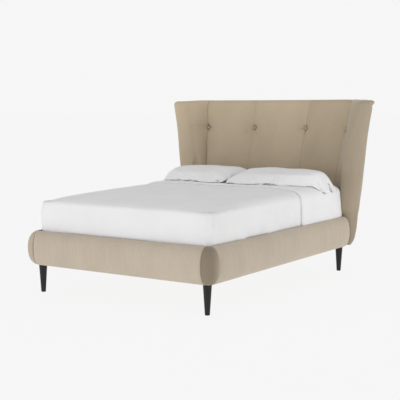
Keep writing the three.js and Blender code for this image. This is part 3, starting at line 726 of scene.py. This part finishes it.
def make_back_cover():
    """Fabric drawn over the back board, turned in at its edges."""
    half = CARCASS_HALF - 0.002
    lo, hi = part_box("headboard_back_cover")
    bottom, top = lo[2] + 0.002, hi[2]
    rings = []
    for z in np.linspace(bottom, top, 40):
        ring = []
        outer = back_y(z)
        for s in even_steps(40, 0.7):
            x = -half + 2 * half * s
            edge = min(half - abs(x), z - bottom, top - z)
            puff = 0.0022 * (1 - math.exp(-max(edge, 0) / 0.02)) + 0.0010 * wobble(x, 1, z, 5)
            ring.append((x, outer - 0.0035 + puff, z))
        ring = ring[::-1]
        ring.append((-half, outer - 0.0045, z))
        ring.append((half, outer - 0.0045, z))
        rings.append(ring)
    cover = loft("back_cover", rings, VELVET)
    stand_for(cover, "headboard_back_cover", "frame")


# ---------- rails ----------
RAIL_MID = (RAIL_BOTTOM + RAIL_TOP) / 2
RAIL_HALF = (RAIL_TOP - RAIL_BOTTOM) / 2
RAIL_ANGLES = np.linspace(-math.pi / 2, math.pi / 2, 33)
RAIL_SEAM = 0.0006


def rail_profile(angle, power=2.3):
    """One point of the padded rail's section: how far it stands out, and its height."""
    c, s = abs(math.cos(angle)), math.sin(angle)
    out = BULGE * c ** (2 / power)
    up = math.copysign(abs(s) ** (2 / power), s)
    return out, RAIL_MID + RAIL_HALF * up


def rail_texture(along, z, out):
    """Small unevenness of the pulled fabric."""
    return 0.0012 * wobble(along, 0, z * 0.5, 9) * out / BULGE


def straight_pad(name, start, end, place, material, gathers=None):
    """place(distance along, out, z) gives the point. The ends turn in at the seams."""
    steps = start + (end - start) * even_steps(150, 0.55)
    rings = []
    for d in steps:
        tuck_a = math.exp(-abs(d - start) / 0.007)
        tuck_b = math.exp(-abs(d - end) / 0.007)
        ring = []
        for angle in RAIL_ANGLES:
            out, z = rail_profile(angle)
            out += rail_texture(d, z, out)
            if gathers:
                out += gathers(d, z) * out / BULGE
            out -= 0.009 * max(tuck_a, tuck_b) * out / BULGE
            ring.append(place(d, out, z))
        ring.append(place(d, 0, RAIL_TOP - 0.006))
        ring.append(place(d, 0, RAIL_BOTTOM + 0.006))
        rings.append(ring)
    return loft(name, rings, material)


def corner_gathers(d, z):
    """Upright wrinkles in the side rail's fabric just behind the corner panel's seam."""
    from_seam = d - (FOOT_INNER_Y - BULGE + CORNER_SEAM)
    fade = math.exp(-from_seam / 0.05) * math.cos((z - RAIL_MID) / RAIL_HALF * math.pi / 2)
    return 0.0035 * fade * math.cos(from_seam / 0.013 * 2 * math.pi + 2.5 * wobble(0, 0, z, 9))


def corner_paths():
    """The corner panel's outline in plan at each level of the rail's section, with its two seams."""
    seam_x = RAIL_OUTER_X - CORNER_SEAM
    seam_y = FOOT_INNER_Y - BULGE + CORNER_SEAM
    paths = []
    for out, z in [rail_profile(a) for a in RAIL_ANGLES]:
        inward = BULGE - out
        radius = CORNER_RADIUS - 0.45 * inward
        ox, oy = RAIL_INNER_X + out, FOOT_INNER_Y - out
        path = []
        for x in np.linspace(seam_x, max(ox - radius, seam_x), 5)[:-1]:
            path.append((x, oy))
        for i in range(25):
            angle = math.radians(-90 + 90 * i / 24)
            path.append((ox - radius + radius * math.cos(angle), oy + radius + radius * math.sin(angle)))
        for y in np.linspace(min(oy + radius, seam_y), seam_y, 5)[1:]:
            path.append((ox, y))
        path = [(x, y) for x, y in path if x >= seam_x - 1e-6 and y <= seam_y + 1e-6]
        paths.append((path, z, out))
    return paths, seam_x, seam_y


def resample(path, count):
    points = np.array(path)
    steps = np.concatenate([[0], np.cumsum(np.linalg.norm(np.diff(points, axis=0), axis=1))])
    want = steps[-1] * even_steps(count, 0.5)
    return np.stack([np.interp(want, steps, points[:, k]) for k in (0, 1)], 1)


def make_corner(name, material):
    paths, seam_x, seam_y = corner_paths()
    rings = []
    for path, z, out in paths:
        points = resample(path, 36)
        ring = []
        for i, (x, y) in enumerate(points):
            s = i / 35
            tuck = 0.009 * max(math.exp(-s / 0.04), math.exp(-(1 - s) / 0.04)) * out / BULGE
            puff = 0.003 * math.sin(math.pi * s) * out / BULGE
            cx, cy = seam_x - 0.02, seam_y + 0.02
            size = math.hypot(x - cx, y - cy)
            push = puff - tuck
            ring.append((x + (x - cx) / size * push, y + (y - cy) / size * push, z))
        ring.append((RAIL_INNER_X + 0.001, seam_y, z))
        ring.append((RAIL_INNER_X - 0.02, FOOT_INNER_Y - 0.001, z))
        rings.append(ring)
    return loft(name, rings, material)


def make_rails():
    seam_x = RAIL_OUTER_X - CORNER_SEAM
    seam_y = FOOT_INNER_Y - BULGE + CORNER_SEAM

    def foot_place(d, out, z):
        return -d, FOOT_INNER_Y - out, z

    def side_place(d, out, z):
        return RAIL_INNER_X + out, d, z

    foot = straight_pad("foot_rail", -seam_x + RAIL_SEAM, seam_x - RAIL_SEAM, foot_place, VELVET_RAIL)
    foot.data.flip_normals()
    declare_pad(foot, "foot_rail_pad")
    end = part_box("side_rail_pad_right")[1][1] - FOOT_Y
    side = straight_pad("side_rail_right", seam_y + RAIL_SEAM, end, side_place, VELVET_RAIL, corner_gathers)
    twin = mirror_copy(side, "side_rail_left")
    declare_pad(side, "side_rail_pad_right")
    declare_pad(twin, "side_rail_pad_left")
    # The near corner panel takes the dark velvet copy as painted shade.
    corner = make_corner("foot_corner_right", VELVET_CORNER_SHADED)
    twin = mirror_copy(corner, "foot_corner_left")
    twin.data.materials[0] = VELVET_FAR_CORNER
    declare_pad(corner, "corner_panel_right")
    declare_pad(twin, "corner_panel_left")


# ---------- bedding ----------
def rounded_plan(half, y0, y1, r_foot, r_head):
    """Points of a rounded rectangle, anticlockwise from the foot end of its left side."""
    points = []
    corners = [
        (-half, y0, r_foot, 180), (half, y0, r_foot, 270), (half, y1, r_head, 0), (-half, y1, r_head, 90),
    ]
    for x, y, r, start in corners:
        cx, cy = x - math.copysign(r, x), y + r if y == y0 else y - r
        for i in range(9):
            a = math.radians(start + 90 * i / 8)
            points.append((cx + r * math.cos(a), cy + r * math.sin(a)))
    return points


def bed_outline(grow, inset, tighter):
    """The bed in plan, grown and then inset, in even steps; tighter is taken off its corners' radii."""
    points = rounded_plan(
        MATTRESS_HALF + grow - inset, -grow + inset, MATTRESS_LENGTH + grow - inset,
        BED_FOOT_RADIUS + grow - tighter, BED_HEAD_RADIUS + grow - tighter,
    )
    points.append(points[0])
    p = np.array(points)
    steps = np.concatenate([[0], np.cumsum(np.linalg.norm(np.diff(p, axis=0), axis=1))])
    want = np.linspace(0, steps[-1], RING_POINTS + 1)[:-1]
    return np.stack([np.interp(want, steps, p[:, k]) for k in (0, 1)], 1)


def bed_top_z(x, y, grow):
    """Height of the mattress's crowned top, lower towards the foot and the sides."""
    half = MATTRESS_HALF + grow
    side = max(1 - abs(x) / half, 0)
    foot = max((y + grow) / MATTRESS_LENGTH, 0)
    head = max((MATTRESS_LENGTH + grow - y) / MATTRESS_LENGTH, 0)
    drop = 0.036 * math.exp(-side / 0.10) + 0.022 * math.exp(-foot / 0.045)
    drop += 0.030 * max(1 - foot / 0.75, 0) ** 1.5
    drop += 0.016 * math.exp(-head / 0.05)
    return MATTRESS_TOP + grow - drop


def shell_rings(grow, low, texture=None):
    """Rings up the sides and then inward over the top, for a cloth that lies on the mattress."""
    def lean(z):
        return 0.012 * smoothstep(z, MATTRESS_BOTTOM + 0.10, MATTRESS_TOP)

    rings = []
    start = MATTRESS_TOP - 0.055
    for z in np.linspace(low, start, 16):
        rings.append([(x, y, z) for x, y in bed_outline(grow, lean(z), 0)])
    turn = 0.042
    for a in np.linspace(0, math.pi / 2, 8)[1:]:
        inset = lean(MATTRESS_TOP) + turn * (1 - math.cos(a))
        ring = []
        for x, y in bed_outline(grow, inset, inset / 3):
            top = bed_top_z(x, y, grow)
            ring.append((x, y, start + (top - start) * math.sin(a)))
        rings.append(ring)
    inset = lean(MATTRESS_TOP) + turn
    base = bed_outline(grow, inset, inset / 3)
    middle = MATTRESS_LENGTH / 2
    for share in (0.93, 0.86, 0.78, 0.69, 0.60, 0.50, 0.40, 0.30, 0.20, 0.10):
        ring = []
        for x, y in base:
            px, py = x * share, middle + (y - middle) * share
            ring.append((px, py, bed_top_z(px, py, grow)))
        rings.append(ring)
    if texture:
        rings = [[texture(*p) for p in ring] for ring in rings]
    return rings


def shell_object(name, rings, material, keep=None):
    count = len(rings[0])
    verts = [p for ring in rings for p in ring]
    faces = ring_faces(len(rings), count)
    centre = len(verts)
    last = (len(rings) - 1) * count
    top = np.mean([p[2] for p in rings[-1]])
    verts.append((0, MATTRESS_LENGTH / 2, float(top)))
    for i in range(count):
        faces.append((last + i, last + (i + 1) % count, centre))
    if keep:
        faces = [f for f in faces if keep(np.mean([verts[i] for i in f], axis=0))]
    return make_object(name, verts, faces, material)


def make_mattress():
    low, middle = MATTRESS_BOTTOM, MATTRESS_LENGTH / 2
    inner = shell_rings(0.0, low + 0.012)
    under = []
    for share in (0.0001, 0.5, 0.985):
        under.append([(x * share, middle + (y - middle) * share, low) for x, y, _ in inner[0]])
    obj = shell_object("mattress_body", under + inner, TICKING)
    declare_pad(obj, "mattress", "mattress")


def sheet_folds(x, y, z):
    """Slight pulls down the side of the fitted sheet."""
    side = smoothstep(abs(x), MATTRESS_HALF - 0.05, MATTRESS_HALF)
    pull = 0.0025 * (wobble(0, y + 0.25 * z, z * 0.3, 14) + 0.8) * side
    top = (1 - side) * 0.002 * (wobble(x, y, 0, 9) + 0.8)
    return x + math.copysign(pull, x), y, z + top


def solid_cloth(obj, thickness):
    thicken = obj.modifiers.new("thickness", "SOLIDIFY")
    thicken.thickness = thickness
    thicken.offset = 1
    apply_modifiers(obj)


def apply_modifiers(obj):
    depsgraph = bpy.context.evaluated_depsgraph_get()
    mesh = bpy.data.meshes.new_from_object(obj.evaluated_get(depsgraph))
    obj.modifiers.clear()
    obj.data = mesh


SHEET_RISE = 0.019


def cut_across(mesh, y, clear=False):
    """Cuts a mesh by an upright plane across the bed, and clears away what lies beyond it if asked."""
    geometry = mesh.verts[:] + mesh.edges[:] + mesh.faces[:]
    place = (0, y + FOOT_Y, 0)
    bmesh.ops.bisect_plane(mesh, geom=geometry, plane_co=place, plane_no=(0, 1, 0), clear_outer=clear)


def swell_beyond_cover(obj):
    """The cover presses the bed in, so the sheet beyond its edge stands up beside it."""
    mesh = bmesh.new()
    mesh.from_mesh(obj.data)
    for step in (0.0015, 0.005, 0.010, 0.020, 0.035):
        cut_across(mesh, COVER_HEAD_Y + step)
    mesh.normal_update()
    moves = []
    for v in mesh.verts:
        y = v.co.y - FOOT_Y
        rise = SHEET_RISE * smoothstep(y, COVER_HEAD_Y + 0.004, COVER_HEAD_Y + 0.016)
        rise *= 1 - 0.6 * smoothstep(y, MATTRESS_LENGTH - 0.15, MATTRESS_LENGTH)
        moves.append(v.normal * rise)
    for v, move in zip(mesh.verts, moves):
        v.co += move
    mesh.to_mesh(obj.data)
    mesh.free()
    shade_smooth(obj.data)


def make_sheet():
    rings = shell_rings(0.001, MATTRESS_BOTTOM + 0.008, sheet_folds)
    obj = shell_object("fitted_bed_sheet", rings, SHEET_CLOTH)
    swell_beyond_cover(obj)
    solid_cloth(obj, SHEET_THICKNESS)
    stand_for(obj, "fitted_sheet", "mattress")


def cover_folds(x, y, z):
    """Soft pulls in the cover: slanting ones down its sides, and long shallow ones over its top."""
    side = smoothstep(abs(x), MATTRESS_HALF - 0.06, MATTRESS_HALF - 0.01)
    side *= 1 - smoothstep(y, 1.0, 1.2) * 0.3
    foot = 1 - smoothstep(y, -0.01, 0.05)
    down = 1 - smoothstep(z, MATTRESS_TOP - 0.07, MATTRESS_TOP)
    slant = y - 0.6 * (MATTRESS_TOP - z)
    ridge = 1 - 2.4 * abs(wobble(0, slant, z * 0.25, 8))
    pull = 0.013 * ridge * smoothstep(wobble(5, slant, 2, 3), -0.2, 0.3)
    pull += 0.004 * wobble(3, slant * 1.3, z * 0.2, 22)
    across = x + 0.1 * (MATTRESS_TOP - z)
    push = 0.009 * wobble(across, 7, z * 0.15, 7) + 0.003 * wobble(across, 3, z * 0.15, 18)
    corner = math.exp(-((abs(x) - MATTRESS_HALF + 0.03) ** 2 + (y - 0.03) ** 2) / 0.07**2)
    pleat = 0.008 * corner * math.cos(42 * math.pi * (abs(x) - y) * 0.9) * down
    top = (1 - down) * (0.004 * wobble(x, y * 0.5, 0, 4) + 0.0015 * wobble(x + 9, y, 0, 15))
    nx = math.copysign(1, x)
    return x + nx * (pull * side * down + pleat * 0.7), y - push * foot * down - pleat * 0.7, z + top


def make_cover():
    rings = shell_rings(0.0038, MATTRESS_BOTTOM + 0.010, cover_folds)
    obj = shell_object("top_cover", rings, COVER_CLOTH, keep=lambda p: p[1] < COVER_HEAD_Y + 0.2)
    mesh = bmesh.new()
    mesh.from_mesh(obj.data)
    cut_across(mesh, COVER_HEAD_Y, clear=True)
    mesh.to_mesh(obj.data)
    mesh.free()
    shade_smooth(obj.data)
    solid_cloth(obj, COVER_THICKNESS)
    stand_for(obj, "bed_cover", "mattress")


def run_cloth(obj, frames, pressure, cap, stiffness):
    """Swells a closed mesh by cloth simulation, limits how far a point moves, and keeps the result."""
    rest = np.array([v.co[:] for v in obj.data.vertices])
    cloth = obj.modifiers.new("cloth", "CLOTH")
    settings = cloth.settings
    settings.quality = 5
    settings.mass = 0.3
    settings.tension_stiffness = stiffness
    settings.compression_stiffness = stiffness
    settings.shear_stiffness = stiffness * 0.4
    settings.bending_stiffness = 0.4
    settings.use_pressure = True
    settings.uniform_pressure_force = pressure
    settings.effector_weights.gravity = 0
    cloth.collision_settings.use_collision = False
    cloth.point_cache.frame_start = 1
    cloth.point_cache.frame_end = frames
    for f in range(1, frames + 1):
        bpy.context.scene.frame_set(f)
    apply_modifiers(obj)
    bpy.context.scene.frame_set(1)
    moved = np.array([v.co[:] for v in obj.data.vertices])
    step = moved - rest
    size = np.linalg.norm(step, axis=1, keepdims=True)
    step *= np.minimum(1, cap / np.maximum(size, 1e-9))
    obj.data.vertices.foreach_set("co", (rest + step).ravel())
    obj.data.update()


def pillow_case(name, width, depth, seed):
    """A flat filled case, which the simulation swells: its sides bow out, as they draw in when it fills."""
    columns, rows = 78, 56
    verts, faces = [], []
    index = {}
    rng = random.Random(seed)
    for layer in (-1, 1):
        for j in range(rows + 1):
            for i in range(columns + 1):
                border = i in (0, columns) or j in (0, rows)
                if border and layer == 1:
                    index[(layer, i, j)] = index[(-1, i, j)]
                    continue
                u, v = 2 * i / columns - 1, 2 * j / rows - 1
                corner = 1 - 0.085 * (u * v) ** 6
                fat = ((1 - u**4) * (1 - v**4)) ** 0.5
                x = u * corner * (1 + 0.035 * (1 - v * v)) * width / 2
                y = v * corner * (1 + 0.05 * (1 - u * u)) * depth / 2
                index[(layer, i, j)] = len(verts)
                verts.append((x, y, layer * 0.020 * fat + 0.0012 * rng.uniform(-1, 1)))
    for layer in (-1, 1):
        for j in range(rows):
            for i in range(columns):
                a, b = index[(layer, i, j)], index[(layer, i + 1, j)]
                c, d = index[(layer, i + 1, j + 1)], index[(layer, i, j + 1)]
                faces.append((a, b, c, d) if layer == 1 else (d, c, b, a))
    return make_object(name, [(x, y - FOOT_Y, z) for x, y, z in verts], faces, PILLOW_CLOTH)


def filled_points(obj, width, depth, height):
    """The swollen case, scaled to the pillow's size."""
    points = np.array([v.co[:] for v in obj.data.vertices])
    span = points.max(0) - points.min(0)
    return points * (np.array([width, depth, height * 1.16]) / span)


def make_pillow(name, node, seed, turn, outward, sweep):
    """outward is the side, -1 or 1, of the bed's edge, where the pillow's front corner goes back by sweep."""
    lo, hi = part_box(node)
    width, depth, height = (hi[0] - lo[0]) * 1.01, (hi[1] - lo[1]) * 1.02, hi[2] - lo[2]
    obj = pillow_case(name, width, depth, seed)
    run_cloth(obj, 22, 2.6, cap=0.075, stiffness=12.0)
    points = filled_points(obj, width, depth, height)
    middle = ((lo[0] + hi[0]) / 2, (lo[1] + hi[1]) / 2)
    c, s = math.cos(turn), math.sin(turn)
    for i, v in enumerate(obj.data.vertices):
        x, y, z = points[i]
        u, w = 2 * x / width * outward, 2 * y / depth
        front = 1 - smoothstep(w, -1.0, 0.5)
        y += sweep * smoothstep(u, 0.2, 1.0) * front
        x += outward * (0.02 - 0.05 * (1 - smoothstep(w, -1.0, 0.1))) * smoothstep(u, 0.6, 1.0)
        low = max(1 - smoothstep(w, -1.0, -0.6), smoothstep(u, 0.75, 1.0))
        px, py = c * x - s * y + middle[0], s * x + c * y + middle[1]
        floor = bed_top_z(px, py - FOOT_Y, 0.0035) + SHEET_RISE - 0.003
        beyond = max(outward * px - (MATTRESS_HALF - 0.035), 0)
        droop = min(beyond * 0.4, 0.03)
        upper = z + height * (0.44 - 0.30 * low)
        shape = 0.80 + 0.30 * smoothstep(w, -0.9, 0.35) - 0.06 * smoothstep(-u, 0.5, 1.0)
        crease = 0.011 * wobble(px, py * 0.4, seed, 12) * front + 0.006 * wobble(px, py, seed, 7)
        lifted = max((upper + crease * smoothstep(upper, 0.01, 0.04)) * shape, 0.0)
        v.co = (px, py, floor + lifted - droop)
    subdivide = obj.modifiers.new("smooth", "SUBSURF")
    subdivide.levels = subdivide.render_levels = 1
    apply_modifiers(obj)
    shade_smooth(obj.data)
    declare_pad(obj, node, node)


# ---------- hard parts that the frame holds ----------
def dress_frame():
    grain = {axis: timber(f"timber_{axis}", axis) for axis in "XYZ"}
    ply = timber("plywood_face", "X", light=(0.66, 0.48, 0.29), dark=(0.52, 0.35, 0.20))
    ply_wing = timber("plywood_wing", "Z", light=(0.66, 0.48, 0.29), dark=(0.52, 0.35, 0.20))
    metal, legs = steel("bracket_steel"), black_wood("leg_black_wood")
    plastic = moulded_plastic("foot_plastic")
    starts = [
        ("leg_", legs), ("levelling_foot", plastic),
        ("corner_bracket", metal), ("beam_hanger", metal),
        ("centre_leg", metal), ("headboard_bolt", metal), ("headboard_panel", ply), ("wing_board", ply_wing),
        ("headboard_upright", grain["Z"]),
        ("headboard_top_rail", grain["X"]), ("headboard_bottom_rail", grain["X"]),
        ("side_rail_board", grain["Y"]), ("slat_ledge", grain["Y"]), ("centre_beam", grain["Y"]),
        ("slat_", grain["X"]), ("foot_rail_board", grain["X"]), ("head_cross_rail", grain["X"]),
    ]
    for name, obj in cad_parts.items():
        for start, material in starts:
            if name.startswith(start):
                obj.data.materials.clear()
                obj.data.materials.append(material)
                break


# ---------- floor, light and camera ----------
BACKDROP = 0.923
SKY_TOP = 0.50


def make_stage():
    floor, tree, shader = new_material("pale_floor", (0.8, 0.8, 0.8), 0.95)
    shade = noise_node(tree, 0.8, detail=2)
    tone = ramp_node(tree, shade.outputs["Fac"], [(0.3, (0.79, 0.79, 0.79)), (0.7, (0.81, 0.81, 0.81))])
    tree.links.new(tone.outputs["Color"], shader.inputs["Base Color"])
    shader.inputs["Specular IOR Level"].default_value = 0.0
    glow = tree.nodes.new("ShaderNodeEmission")
    glow.inputs["Color"].default_value = (1, 1, 1, 1)
    glow.inputs["Strength"].default_value = BACKDROP * 1.022
    mix = tree.nodes.new("ShaderNodeMixShader")
    mix.inputs["Fac"].default_value = 0.94
    tree.links.new(shader.outputs["BSDF"], mix.inputs[1])
    tree.links.new(glow.outputs["Emission"], mix.inputs[2])
    tree.links.new(mix.outputs["Shader"], tree.nodes["Material Output"].inputs["Surface"])
    size = 300
    corners = [(-size, -size, 0), (size, -size, 0), (size, size, 0), (-size, size, 0)]
    plane = make_object("floor", corners, [(0, 1, 2, 3)], floor)

    world = bpy.data.worlds.new("studio")
    bpy.context.scene.world = world
    world.use_nodes = True
    tree = world.node_tree
    coords = tree.nodes.new("ShaderNodeTexCoord")
    split = tree.nodes.new("ShaderNodeSeparateXYZ")
    tree.links.new(coords.outputs["Generated"], split.inputs["Vector"])
    low, high = (BACKDROP,) * 3, (SKY_TOP,) * 3
    sky = ramp_node(tree, split.outputs["Z"], [(0.13, low), (1.0, high)])
    tree.links.new(sky.outputs["Color"], tree.nodes["Background"].inputs["Color"])


def area_light(name, place, target, size, power):
    data = bpy.data.lights.new(name, "AREA")
    data.shape = "RECTANGLE"
    data.size, data.size_y = size
    data.energy = power
    lamp = bpy.data.objects.new(name, data)
    bpy.context.scene.collection.objects.link(lamp)
    lamp.location = place
    lamp.rotation_euler = (Vector(target) - Vector(place)).to_track_quat("-Z", "Y").to_euler()


def make_camera():
    data = bpy.data.cameras.new("camera")
    data.sensor_width = 36
    data.lens = 83.1
    camera = bpy.data.objects.new("camera", data)
    bpy.context.scene.collection.objects.link(camera)
    turn, down = math.radians(33.32), math.radians(5.59)
    camera.location = (3.627, FOOT_Y - 4.587, 1.231)
    camera.rotation_euler = (math.pi / 2 - down, 0, turn)
    data.clip_end = 200
    bpy.context.scene.camera = camera


make_camera()
make_stage()
area_light("side", (6.0, 1.5, 1.8), (0, 0, 0.6), (3.0, 2.0), 49)
area_light("front", (-0.8, -6.5, 1.3), (0, 0, 0.8), (3.5, 1.6), 60)
make_headboard()
make_buttons()
make_back_cover()
make_rails()
make_mattress()
make_sheet()
make_cover()
make_pillow("pillow_soft_left", "pillow_left", 3, math.radians(-2), -1, 0.13)
make_pillow("pillow_soft_right", "pillow_right", 5, math.radians(3), 1, 0.22)
dress_frame()
bpy.context.scene.view_settings.view_transform = "Standard"
